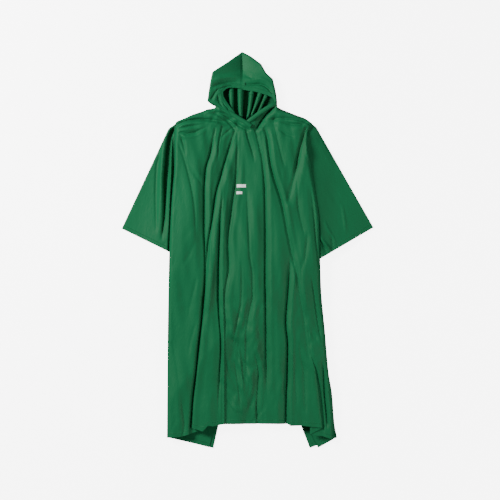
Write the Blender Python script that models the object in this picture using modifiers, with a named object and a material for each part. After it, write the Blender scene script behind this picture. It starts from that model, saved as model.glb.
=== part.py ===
"""A pull-on rain poncho laid out flat on its back, front side up.

One rectangle of coated cloth is folded at the shoulders. Its sides are turned in, between the front and the
back, and swing out again as short wide sleeves. A hood of two pieces joins the neck. Every piece is a thin
wall. X runs to the viewer's right, Y towards the hood and Z up; the back lies on Z = 0.
"""

import bisect
import math

import bmesh
import bpy
from mathutils import Vector

MM = 0.001

# ---- driving sizes, in millimetres ----
WALL = 2.0  # thickness of the cloth solids
LAYER = 2.8  # rise from one layer lying on another to the next: a wall and a little air
SLEEVE_HOLLOW = 8.0  # air between a sleeve's two layers
BODY_LOFT = 21.0  # how far the front stands over what lies under it
HOLLOW = 4.0  # air left under its deepest pleats
REST_GAP = 1.2  # air under its rolled edges
SIDE_ROUND = 22.0  # width over which the front rolls down to its side folds
TOP_ROUND = 26.0  # width over which it rolls down to the shoulder fold
MARGIN = 12.0  # how far past a layer's edge the cloth over it stays raised
RAMP = 200.0  # width over which it then comes down
SLEEVE_FOLD = 6.0  # radius of a sleeve's outer fold
HOOD_RISE = 32.0  # height of the hood's front layer over the surface
HOOD_ROUND = 34.0  # width over which it rolls down to its outer fold
HOOD_FOLD = 6.0  # radius of that fold
NECK_LIFT = 9.0  # how much higher the gathered cloth stands round the throat
NECK_REACH = 90.0  # how far from the throat that lift is felt
THROAT = (0, 436)

COLOURS = {
    "cloth": (0.018, 0.165, 0.075, 1.0),
    "print": (0.80, 0.82, 0.80, 1.0),
}

# ---- the outline of the body ----
# The front's upper edge, left to right: the shoulder folds, with the neck's V between them.
TOP_EDGE = [
    # x, y
    (-269, 429),
    (-262, 440),
    (-250, 446),
    (-194, 474),
    (-140, 495),
    (-112, 492),
    (-90, 480),
    (-4, 428),
    (28, 430),
    (96, 486),
    (117, 491),
    (194, 461),
    (212, 449),
    (222, 438),
]
# Its lower edge: longer at the sides, where the cut hangs off the shoulders.
HEM_EDGE = [
    # x, y
    (-283, -657),
    (-200, -640),
    (-190, -622),
    (-157, -632),
    (-138, -614),
    (-84, -610),
    (141, -609),
    (184, -614),
    (262, -621),
    (285, -640),
    (302, -664),
]
# The levels at which the pleats are placed, from the shoulders to the hem.
LEVELS = [480, 400, 280, 140, 0, -140, -280, -420, -609]
# The two side folds of the front, x at each level.
SIDE_FOLDS = {
    "left": [-269, -258, -263, -270, -274, -277, -280, -282, -283],
    "right": [222, 204, 221, 243, 253, 258, 269, 281, 302],
}
# Pleats that run down the front from the gathered neck, left to right: their width, then x and depth at
# each level.
PLEATS = [
    # name, width, [x at each level], [depth at each level]
    ("shoulder_crease", 20, [-240, -228, -208, -190, -182, -196, -186, -208, -222], [0, 9, 8, 7, 5, 4, 4, 5, 8]),
    ("outer_left", 20, [-98, -117, -146, -152, -149, -149, -160, -176, -196], [0, 9, 11, 13, 14, 17, 17, 17, 16]),
    ("inner_left", 22, [-60, -52, -86, -119, -134, -140, -148, -158, -168], [0, 10, 14, 16, 15, 7, 3, 2, 0]),
    ("long_left", 20, [-42, -41, -68, -92, -101, -103, -97, -97, -102], [0, 2, 5, 14, 18, 18, 16, 11, 6]),
    ("second_left", 18, [-24, -33, -40, -58, -68, -78, -80, -80, -78], [0, 8, 12, 14, 14, 16, 12, 8, 5]),
    ("centre_left", 18, [-10, -18, -17, -26, -25, -22, -41, -41, -28], [0, 3, 3, 4, 8, 13, 13, 12, 6]),
    ("centre", 18, [2, 0, 14, 2, 7, 17, 0, -4, 6], [0, 8, 9, 9, 11, 13, 13, 8, 3]),
    ("centre_right", 18, [18, 18, 34, 32, 34, 38, 30, 38, 34], [0, 4, 4, 4, 4, 4, 8, 12, 14]),
    ("long_right", 20, [34, 44, 54, 60, 62, 62, 64, 66, 68], [0, 8, 13, 16, 17, 17, 17, 13, 6]),
    ("diagonal_left", 24, [48, 68, 84, 122, 133, 140, 135, 138, 134], [0, 10, 14, 14, 9, 15, 18, 19, 19]),
    ("fan_right", 18, [70, 98, 120, 146, 168, 180, 184, 197, 204], [0, 0, 4, 8, 10, 9, 10, 13, 14]),
    ("shoulder_fold", 20, [170, 196, 168, 184, 204, 220, 238, 262, 268], [0, 13, 12, 10, 10, 8, 10, 13, 15]),
]

# ---- the print on the chest ----
MARK_WALL = 1.0
MARK_LIFT = 1.6  # clearance to the folded cloth under it
CHEST_MARKS = [
    # name, centre x and y, width and height
    ("chest_mark_wide", (-22, 224), (32, 11)),
    ("chest_mark_small", (-29, 200), (20, 9)),
]

# ---- the folded sides ----
# Each side in plan: where the folds meet at the shoulder, the sleeve's tip and the inner end of the hidden
# fold, then the side fold's foot and the outer corner of the front's and of the back's tuck.
SIDES = {
    "left": {
        "shoulder": (-257, 425),
        "sleeve_top": (-268, 445),
        "tip": (-442, 75),
        "inner": (4, -142),
        "front_foot": (-281, -655),
        "front_corner": (-135, -692),
        "back_foot": (-283, -657),
        "back_corner": (-120, -695),
    },
    "right": {
        "shoulder": (209, 428),
        "sleeve_top": (230, 450),
        "tip": (442, 79),
        "inner": (14, -170),
        "front_foot": (301, -664),
        "front_corner": (247, -694),
        "back_foot": (314, -658),
        "back_corner": (218, -695),
    },
}

# ---- the hood ----
# Sections of each hood piece from the apex to the neck: the inner edge of the front layer (the centre seam,
# then the face opening), the outer fold, and the inner edge of the back layer (the seam, then the neck).
HOOD_LEFT = [
    # front edge x, y, outer fold x, y, back edge x, y
    (-20, 693, -27, 695, -20, 693),
    (-19, 655, -75, 654, -19, 655),
    (-18, 630, -122, 624, -18, 628),
    (-17, 598, -127, 612, -17, 598),
    (-16, 566, -131, 596, -16, 570),
    (-54, 571, -134, 575, -15, 545),
    (-84, 556, -138, 548, -14, 515),
    (-96, 528, -141, 522, -12, 482),
    (-104, 507, -122, 509, -8, 456),
]
HOOD_RIGHT = [
    # front edge x, y, outer fold x, y, back edge x, y
    (-18, 693, -12, 694, -18, 693),
    (-17, 655, 44, 653, -17, 655),
    (-16, 625, 64, 622, -16, 625),
    (-15, 592, 86, 603, -15, 596),
    (-14, 560, 91, 588, -14, 568),
    (18, 556, 94, 570, -13, 542),
    (48, 548, 98, 551, -12, 514),
    (76, 534, 102, 527, -8, 482),
    (84, 519, 98, 512, -3, 456),
]
# Below the face the front edge runs on down to the throat, where the left side crosses over the right.
THROAT_LEFT = [
    # edge x, y, seam x, y
    (-102, 502, -118, 499),
    (-80, 489, -92, 483),
    (-42, 465, -52, 456),
    (0, 440, -5, 431),
]
THROAT_RIGHT = [
    # edge x, y, seam x, y
    (84, 513, 100, 503),
    (62, 498, 76, 484),
    (34, 480, 46, 458),
    (6, 460, 12, 434),
]
THROAT_RISE = 5.0  # how far that edge rolls up over the front
# Gathers of the hood's back, seen through the face opening and closing towards the throat.
HOOD_GATHERS = [
    # x at y = 556, x at y = 450, height
    (-78, -30, 13),
    (-59, -25, 15),
    (-25, -18, 17),
    (12, -4, 15),
    (47, 2, 13),
]
GATHER_WIDTH = 15.0


def between(table, x):
    """The value at x of a table of (x, value) pairs, with straight runs between them."""
    keys = [row[0] for row in table]
    if x <= keys[0]:
        return table[0][1]
    if x >= keys[-1]:
        return table[-1][1]
    i = bisect.bisect_right(keys, x)
    (x0, y0), (x1, y1) = table[i - 1], table[i]
    return y0 + (y1 - y0) * (x - x0) / (x1 - x0)


def smooth_step(t):
    t = min(1.0, max(0.0, t))
    return t * t * (3.0 - 2.0 * t)


def at_level(values, y):
    """A value given at each of LEVELS, read at height y with an eased run from one level to the next."""
    if y >= LEVELS[0]:
        return values[0]
    for i in range(1, len(LEVELS)):
        if y >= LEVELS[i]:
            t = (LEVELS[i - 1] - y) / (LEVELS[i - 1] - LEVELS[i])
            before = values[max(0, i - 2)]
            after = values[min(len(values) - 1, i + 1)]
            a, b = values[i - 1], values[i]
            # A Catmull-Rom run with half its usual swing keeps neighbouring pleats apart.
            m0, m1 = (b - before) * 0.25, (after - a) * 0.25
            h1 = (1 + 2 * t) * (1 - t) ** 2
            h2 = t * (1 - t) ** 2
            h3 = t * t * (3 - 2 * t)
            h4 = t * t * (t - 1)
            return h1 * a + h2 * m0 + h3 * b + h4 * m1
    return values[-1]


def inside_distance(point, corners):
    """How far a point lies inside a convex outline, negative outside it."""
    area = sum(a[0] * b[1] - b[0] * a[1] for a, b in zip(corners, corners[1:] + corners[:1]))
    turn = 1.0 if area > 0 else -1.0
    nearest = math.inf
    for (ax, ay), (bx, by) in zip(corners, corners[1:] + corners[:1]):
        length = math.hypot(bx - ax, by - ay)
        across = (bx - ax) * (point[1] - ay) - (by - ay) * (point[0] - ax)
        nearest = min(nearest, turn * across / length)
    return nearest


def over(point, corners):
    """1 over an outline and a margin round it, and 0 away from it, with a ramp between."""
    return smooth_step(1.0 + (inside_distance(point, corners) + MARGIN) / RAMP)


# ---- heights of the layers, from the surface up ----
def back_outline():
    """The back panel's corners in plan, without its neckline."""
    left, right = SIDES["left"], SIDES["right"]
    feet = [left["back_foot"], right["back_foot"]]
    return [left["shoulder"], *feet, right["shoulder"], (117, 491), (-140, 495)]


def tuck_outline(side, layer):
    corners = SIDES[side]
    return [corners["shoulder"], corners[layer + "_foot"], corners[layer + "_corner"], corners["inner"]]


def sleeve_outline(side):
    corners = SIDES[side]
    return [corners["sleeve_top"], corners["tip"], corners["inner"], corners["shoulder"]]


def back_tuck_rise(point):
    """What lies over the surface on the back panel: its turned-in sides."""
    tuck = max(over(point, tuck_outline(side, "back")) for side in SIDES)
    return LAYER * (max(tuck, over(point, back_outline())) + tuck)


def sleeve_rise(point):
    """Height of all that lies over a sleeve's outline, the sleeve included."""
    thick = SLEEVE_HOLLOW + 2 * WALL + LAYER - WALL
    return back_tuck_rise(point) + thick * max(over(point, sleeve_outline(side)) for side in SIDES)


def front_rise(point):
    """Height of the underside of the front where it rests on all that is folded under it."""
    return sleeve_rise(point) + LAYER * max(over(point, tuck_outline(side, "front")) for side in SIDES)


# ---- making meshes ----
def material(name):
    found = bpy.data.materials.get(name)
    if found:
        return found
    made = bpy.data.materials.new(name)
    made.use_nodes = True
    shader = made.node_tree.nodes["Principled BSDF"]
    shader.inputs["Base Color"].default_value = COLOURS[name]
    shader.inputs["Roughness"].default_value = 0.38
    shader.inputs["Metallic"].default_value = 0.0
    made.diffuse_color = COLOURS[name]
    return made


def cloth(name, rows, colour="cloth", wall=WALL):
    """A sheet through rows of points, given on its outer side, made a wall by Solidify on its inner side."""
    mesh = bmesh.new()
    grid = [[mesh.verts.new(Vector(point) * MM) for point in row] for row in rows]
    for upper, lower in zip(grid, grid[1:]):
        for i in range(len(upper) - 1):
            mesh.faces.new((upper[i], lower[i], lower[i + 1], upper[i + 1]))
    data = bpy.data.meshes.new(name)
    mesh.to_mesh(data)
    mesh.free()
    data.materials.append(material(colour))
    data.shade_smooth()
    made = bpy.data.objects.new(name, data)
    GARMENT.objects.link(made)
    solidify = made.modifiers.new("wall", "SOLIDIFY")
    solidify.thickness = wall * MM
    solidify.offset = -1.0
    return made


def spread(start, end, count):
    return [start + (end - start) * i / (count - 1) for i in range(count)]


# ---- the pieces ----
def pleat_columns(y):
    """The x of each column of the front at height y, with the depth of the pleat there: every pleat has a
    lip, a valley and a lip, with one column between it and the next."""
    left, right = at_level(SIDE_FOLDS["left"], y), at_level(SIDE_FOLDS["right"], y)
    valleys = [(at_level(xs, y), width, at_level(depths, y)) for _, width, xs, depths in PLEATS]
    first = valleys[0][0]
    columns = [(left, 0.0), (left + 0.12 * (first - left), 0.0), (left + 0.4 * (first - left), 0.0)]
    for i, (x, width, depth) in enumerate(valleys):
        before = valleys[i - 1][0] if i else left
        after = valleys[i + 1][0] if i + 1 < len(valleys) else right
        columns.append((x - min(width / 2, 0.36 * (x - before)), 0.0))
        columns.append((x, depth))
        columns.append((x + min(width / 2, 0.36 * (after - x)), 0.0))
        if i + 1 < len(valleys):
            columns.append(((x + after) / 2, 0.0))
    last = valleys[-1][0]
    columns += [(right - 0.4 * (right - last), 0.0), (right - 0.12 * (right - last), 0.0), (right, 0.0)]
    return columns


def round_over(distance, width):
    """0 at an edge and 1 past the width, along a quarter of an ellipse."""
    return math.sqrt(max(0.0, 1.0 - (1.0 - min(1.0, max(0.0, distance / width))) ** 2))


def loft(point):
    """How far the front stands over what lies under it."""
    from_throat = math.dist(point, THROAT)
    return BODY_LOFT + NECK_LIFT * math.exp(-((from_throat / NECK_REACH) ** 2))


def front_height(x, y, depth, left, right, top):
    """Upper side of the front: it rolls down to its folds and sinks along each pleat, and the gathered cloth
    stands higher round the throat."""
    side = round_over(min(x - left, right - x), SIDE_ROUND)
    at_neck = smooth_step((x + 135) / 25) * smooth_step((125 - x) / 25)
    shoulder = max(at_neck, round_over(top - y, TOP_ROUND))
    open_out = min(side, shoulder)
    sunk = loft((x, y)) * side * shoulder - depth * open_out
    return front_rise((x, y)) + WALL + max(REST_GAP + HOLLOW * open_out, sunk)


def front_rows():
    """The front's grid, from the shoulders to the hem."""
    rows = []
    for step in (0.0, 0.3, 0.65):
        row = []
        for (x, depth), (x_up, _) in zip(pleat_columns(400), pleat_columns(LEVELS[0])):
            px = x_up + (x - x_up) * step
            edge = between(TOP_EDGE, px)
            py = edge + (400 - edge) * step
            left, right = at_level(SIDE_FOLDS["left"], py), at_level(SIDE_FOLDS["right"], py)
            row.append((px, py, front_height(px, py, depth * step, left, right, edge)))
        rows.append(row)
    for y in spread(400, -585, 18):
        left, right = at_level(SIDE_FOLDS["left"], y), at_level(SIDE_FOLDS["right"], y)
        columns = pleat_columns(y)
        rows.append([(x, y, front_height(x, y, depth, left, right, between(TOP_EDGE, x))) for x, depth in columns])
    hem = []
    for x, depth in pleat_columns(LEVELS[-1]):
        y = between(HEM_EDGE, x)
        left, right = at_level(SIDE_FOLDS["left"], y), at_level(SIDE_FOLDS["right"], y)
        hem.append((x, y, front_height(x, y, depth, left, right, math.inf)))
    rows.append(hem)
    return rows


def row_at(rows, y):
    """The points where a grid's columns cross a height y."""
    points = []
    for column in zip(*rows):
        for (x0, y0, z0), (x1, y1, z1) in zip(column, column[1:]):
            if y0 >= y >= y1:
                t = (y0 - y) / (y0 - y1)
                points.append((x0 + (x1 - x0) * t, y, z0 + (z1 - z0) * t))
                break
    return points


def chest_mark(name, rows, centre, size):
    """A printed bar that follows the folds of the front, moved out from its points."""
    (x, y), (width, height) = centre, size
    ends = (x - width / 2, x + width / 2)
    crossed = [i for i, point in enumerate(row_at(rows, y)) if ends[0] + 2 < point[0] < ends[1] - 2]
    bar = []
    for level in (y + height / 2, y - height / 2):
        points = row_at(rows, level)
        heights = [(point[0], point[2]) for point in points]
        across = [ends[0]] + [points[i][0] for i in crossed] + [ends[1]]
        bar.append([(px, level, between(heights, px) + MARK_WALL + MARK_LIFT) for px in across])
    return cloth(name, bar, "print", MARK_WALL)


def flat_sheet(name, outline, floor):
    """A flat wall inside an outline, its underside at the given height."""
    curve = bpy.data.curves.new(name, "CURVE")
    curve.dimensions = "2D"
    curve.fill_mode = "BOTH"
    curve.extrude = WALL / 2 * MM
    spline = curve.splines.new("POLY")
    spline.points.add(len(outline) - 1)
    for point, (x, y) in zip(spline.points, outline):
        point.co = (x * MM, y * MM, 0, 1)
    spline.use_cyclic_u = True
    curve.materials.append(material("cloth"))
    made = bpy.data.objects.new(name, curve)
    made.location.z = (floor + WALL / 2) * MM
    GARMENT.objects.link(made)
    return made


def back_panel():
    left, right = SIDES["left"], SIDES["right"]
    neckline = [(-112, 491), (-8, 444), (93, 497)]
    shoulder_left, shoulder_right = (-250, 446), (194, 461)
    hem = [left["back_foot"], (-100, -607), (184, -607), right["back_foot"]]
    outline = hem + [right["shoulder"], shoulder_right, (117, 491)] + neckline[::-1] + [(-140, 495), shoulder_left]
    return flat_sheet("back_panel", outline + [left["shoulder"]], 0)


def front_tuck(side):
    """The side of the front, turned under along the side fold: a four-sided sheet over the sleeve."""
    shoulder, foot, corner, inner = tuck_outline(side, "front")
    rows = []
    for v in spread(0, 1, 16):
        row = []
        for u in spread(0, 1, 7):
            outer = [a + (b - a) * v for a, b in zip(shoulder, foot)]
            hidden = [a + (b - a) * v for a, b in zip(inner, corner)]
            x, y = (a + (b - a) * u for a, b in zip(outer, hidden))
            row.append((x, y, sleeve_rise((x, y)) + WALL))
        rows.append(row if side == "left" else row[::-1])
    return cloth("front_tuck_" + side, rows)


def folded_tube(name, side, sections, floor, rise, radius, fractions):
    """Two layers joined at an outer fold. Each section gives the inner end of the upper layer, the outer fold
    and the inner end of the lower layer; floor and rise give the heights of the two layers' outer sides, at
    the given fractions of the way in from the fold."""
    rows = []
    for upper, fold, lower in sections:
        low, high = [], []
        for layer, inner in ((low, lower), (high, upper)):
            length = math.dist(fold, inner)
            start = min(radius, 0.3 * length)
            for fraction in fractions:
                distance = start + (length - start) * fraction
                x, y = (a + (b - a) * distance / length for a, b in zip(fold, inner))
                layer.append((x, y, floor((x, y)) if layer is low else rise((x, y), distance)))
        bottom, top = low[0][2], high[0][2]
        turn = []
        for angle in (-45, 0, 45):
            out = math.cos(math.radians(angle))
            x, y = (a + (b - a) * out for a, b in zip(low[0][:2], fold))
            turn.append((x, y, (bottom + top) / 2 + (top - bottom) / 2 * math.sin(math.radians(angle))))
        row = low[::-1] + turn + high
        rows.append(row if side == "left" else row[::-1])
    return cloth(name, rows)


def crossing(start, end, a, b):
    """How far along start to end the line through a and b crosses it, as a fraction."""
    along = (b[0] - a[0], b[1] - a[1])
    ahead = (end[0] - start[0]) * along[1] - (end[1] - start[1]) * along[0]
    return ((a[0] - start[0]) * along[1] - (a[1] - start[1]) * along[0]) / ahead


def sleeve(side):
    """A flat tube that fans out from the shoulder to its cuff."""
    top, tip, inner, shoulder = sleeve_outline(side)
    sections = []
    for v in spread(0.02, 1, 10):
        fold = [a + (b - a) * v for a, b in zip(top, tip)]
        end = [a + (b - a) * v for a, b in zip(shoulder, inner)]
        sections.append((end, fold, end))
    # Columns close up where the sleeve climbs on to the body.
    body = crossing(tip, inner, shoulder, SIDES[side]["back_foot"])
    fractions = [body * f for f in (0, 0.15, 0.35, 0.55, 0.72, 0.84, 0.93, 1)]
    fractions += [body + (1 - body) * f for f in (0.3, 0.65, 1)]

    def roof(point, distance):
        return back_tuck_rise(point) + 2 * WALL + SLEEVE_HOLLOW

    return folded_tube("sleeve_" + side, side, sections, back_tuck_rise, roof, SLEEVE_FOLD, fractions)


def gathers(point):
    """How high the hood's back is gathered up over the surface."""
    x, y = point
    t = (556 - y) / (556 - 450)
    fade = smooth_step((600 - y) / 50)
    height = 0.0
    for x_top, x_neck, rise in HOOD_GATHERS:
        off = (x - (x_top + (x_neck - x_top) * t)) / (GATHER_WIDTH * (1.0 - 0.45 * min(1, max(0, t))))
        height = max(height, rise * fade * max(0.0, 1.0 - abs(off)))
    return height


def hood(side, table):
    sections = [((fx, fy), (ox, oy), (bx, by)) for fx, fy, ox, oy, bx, by in table]

    def roof(point, distance):
        return 8.0 + (HOOD_RISE - 8.0) * round_over(distance, HOOD_ROUND)

    return folded_tube("hood_" + side, side, sections, gathers, roof, HOOD_FOLD, spread(0, 1, 11))


def throat(side, table):
    """The hood's front edge below the face, from the side of the neck down to the throat."""
    rows = []
    for edge_x, edge_y, seam_x, seam_y in table:
        row = []
        for t in spread(0, 1, 3):
            x, y = edge_x + (seam_x - edge_x) * t, edge_y + (seam_y - edge_y) * t
            roll = THROAT_RISE * math.sin(math.pi * (1 - t / 2))
            row.append((x, y, front_rise((x, y)) + WALL + loft((x, y)) + roll))
        rows.append(row[::-1] if side == "left" else row)
    return cloth("hood_throat_" + side, rows)


for old in list(bpy.data.objects):
    bpy.data.objects.remove(old, do_unlink=True)
GARMENT = bpy.data.collections.new("rain_poncho")
bpy.context.scene.collection.children.link(GARMENT)

FRONT = front_rows()
cloth("front_panel", FRONT)
back_panel()
for SIDE in SIDES:
    flat_sheet("back_tuck_" + SIDE, tuck_outline(SIDE, "back"), LAYER)
    front_tuck(SIDE)
    sleeve(SIDE)
hood("left", HOOD_LEFT)
hood("right", HOOD_RIGHT)
throat("left", THROAT_LEFT)
throat("right", THROAT_RIGHT)
for NAME, CENTRE, SIZE in CHEST_MARKS:
    chest_mark(NAME, FRONT, CENTRE, SIZE)
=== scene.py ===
"""The looks of a pull-on rain poncho laid out flat on its back, front side up.

Every sheet is a thin shell made here in its own sizes, in millimetres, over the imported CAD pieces: X runs to
the viewer's right, Y towards the hood and Z up, and the back lies on Z = 0.
"""

import math

import bpy
import numpy as np
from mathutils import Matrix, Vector


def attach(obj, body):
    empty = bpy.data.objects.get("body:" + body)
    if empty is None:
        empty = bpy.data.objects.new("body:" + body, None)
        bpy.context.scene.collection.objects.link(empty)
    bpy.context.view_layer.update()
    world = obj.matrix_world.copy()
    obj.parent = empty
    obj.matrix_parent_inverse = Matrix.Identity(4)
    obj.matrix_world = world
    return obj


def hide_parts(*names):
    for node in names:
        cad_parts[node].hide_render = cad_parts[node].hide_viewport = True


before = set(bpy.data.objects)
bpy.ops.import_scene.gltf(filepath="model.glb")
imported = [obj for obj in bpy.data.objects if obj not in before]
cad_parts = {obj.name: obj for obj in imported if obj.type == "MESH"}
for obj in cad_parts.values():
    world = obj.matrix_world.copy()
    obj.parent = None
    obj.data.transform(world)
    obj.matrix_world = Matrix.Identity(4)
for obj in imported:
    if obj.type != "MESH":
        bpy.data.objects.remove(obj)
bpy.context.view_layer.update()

MM = 0.001
SHELL = 0.8  # thickness of the visible cloth
PRINT_SHELL = 0.3
PRINT_LIFT = 0.8  # how far the print stands off the cloth
WALL = 2.0  # thickness of the CAD walls, whose levels the sheets keep
LAYER = 2.8  # rise from one layer to the next
SLEEVE_HOLLOW = 8.0
BODY_LOFT = 21.0
REST_GAP = 1.2
HOLLOW = 3.0
SIDE_ROUND = 14.0
TOP_ROUND = 24.0
BACK_SEAM = 2.1  # height of the front's edge along the shoulder seam
MARGIN = 12.0
RAMP = 200.0
HEM_BAND = 15.0  # width of the turned hems
HEM_SLOPE = 1.6  # width of the step from a turned hem to the cloth
HEM_RISE = 0.7  # height of that step
TUCK_RISE = 0.5  # the same where a tuck lies flat
FLOOR_SIZE = 9.0  # metres
FLOOR_LEVEL = -0.0006  # metres

# ---- outlines in plan ----
TOP_EDGE = [
    # x, y
    (-252, 446), (-246, 451), (-194, 476), (-158, 488), (-140, 495), (-118, 497), (-104, 500),
    (-80, 491), (-50, 472), (-4, 440), (14, 446), (44, 476), (80, 502), (96, 503), (117, 495),
    (160, 478), (194, 464), (212, 454), (228, 441),
]
HEM_EDGE = [
    # x, y
    (-196, -621), (-157, -634), (-138, -614), (-120, -616), (-84, -609), (60, -608), (141, -609),
    (150, -615), (184, -614), (262, -621),
]
SIDES = {
    "left": {
        "shoulder": (-257, 425),
        "sleeve_top": (-268, 445),
        "tip": (-442, 75),
        "inner": (4, -142),
        "front_foot": (-281, -655),
        "front_corner": (-135, -692),
        "back_foot": (-283, -657),
        "back_corner": (-120, -695),
    },
    "right": {
        "shoulder": (209, 428),
        "sleeve_top": (230, 450),
        "tip": (442, 79),
        "inner": (14, -170),
        "front_foot": (301, -664),
        "front_corner": (247, -694),
        "back_foot": (314, -658),
        "back_corner": (218, -695),
    },
}
# The lines that the front's columns follow from the shoulders to the hem, and how many columns lie between
# one and the next. At the second and the sixth the cloth doubles back on itself in a pleat.
GUIDES = [
    # columns up to the next, [(y, x)]
    (44, [(446, -252), (400, -254), (280, -257), (200, -264), (119, -269), (-4, -274), (-280, -280),
        (-657, -283)]),
    (
        54,
        [(480, -104), (420, -113), (340, -129), (280, -146), (200, -151), (77, -151), (-49, -146),
        (-119, -147),
         (-210, -154), (-332, -167), (-452, -180), (-525, -189), (-620, -195)],
    ),
    (38, [(440, -34), (280, -39), (200, -49), (119, -61), (38, -71), (-63, -68), (-172, -82), (-304, -77),
        (-609, -81)]),
    (26, [(440, -2), (178, -1), (70, 4), (-10, 7), (-91, 17), (-164, 17), (-304, -5), (-448, -5), (-609, 4)]),
    (52, [(440, 34), (318, 51), (200, 60), (38, 62), (-91, 62), (-350, 64), (-609, 68)]),
    (
        48,
        [(450, 66), (399, 71), (298, 88), (238, 104), (175, 124), (119, 136), (70, 145), (-10, 161),
        (-91, 180),
         (-144, 188), (-238, 204), (-332, 215), (-424, 238), (-514, 252), (-609, 262)],
    ),
    (0, [(440, 228), (406, 208), (318, 217), (200, 237), (77, 252), (-28, 254), (-140, 258), (-280, 271),
        (-420, 283),
         (-507, 294), (-609, 301)]),
]
# Pleats: how far the cloth passes under its upper layer at the hem, where that starts and is whole, how far
# apart the layers lie, where the hem meets the turns from left to right, and the under layer's hem, [(y, x)].
PLEATS = {
    "left": {
        "under": 36,
        "starts": -20,
        "whole": -420,
        "apart": 12,
        "turns": (-628.0, -621.0),
        "hem": [(-657, -283), (-652, -230), (-641, -193), (-628, -158)],
    },
    "right": {
        "under": 44,
        "starts": -330,
        "whole": -640,
        "apart": 6,
        "turns": (-621.0, -645.0),
        "hem": [(-645, 218), (-651, 262), (-663, 301)],
    },
}
PLEAT_COLUMNS = 9
HELD_UP = 0.55  # share of the loft at the right edge beside the sleeve
# The front's rows: how many, and the shares of its height that they lie between.
FRONT_ROWS = [
    (36, 0, 0.1),
    (30, 0.1, 0.24),
    (96, 0.24, 0.982),
    (11, 0.982, 1),
]
TOP_REFERENCE, HEM_REFERENCE = 455.0, -615.0  # heights at which the columns are met with the edges

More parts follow.
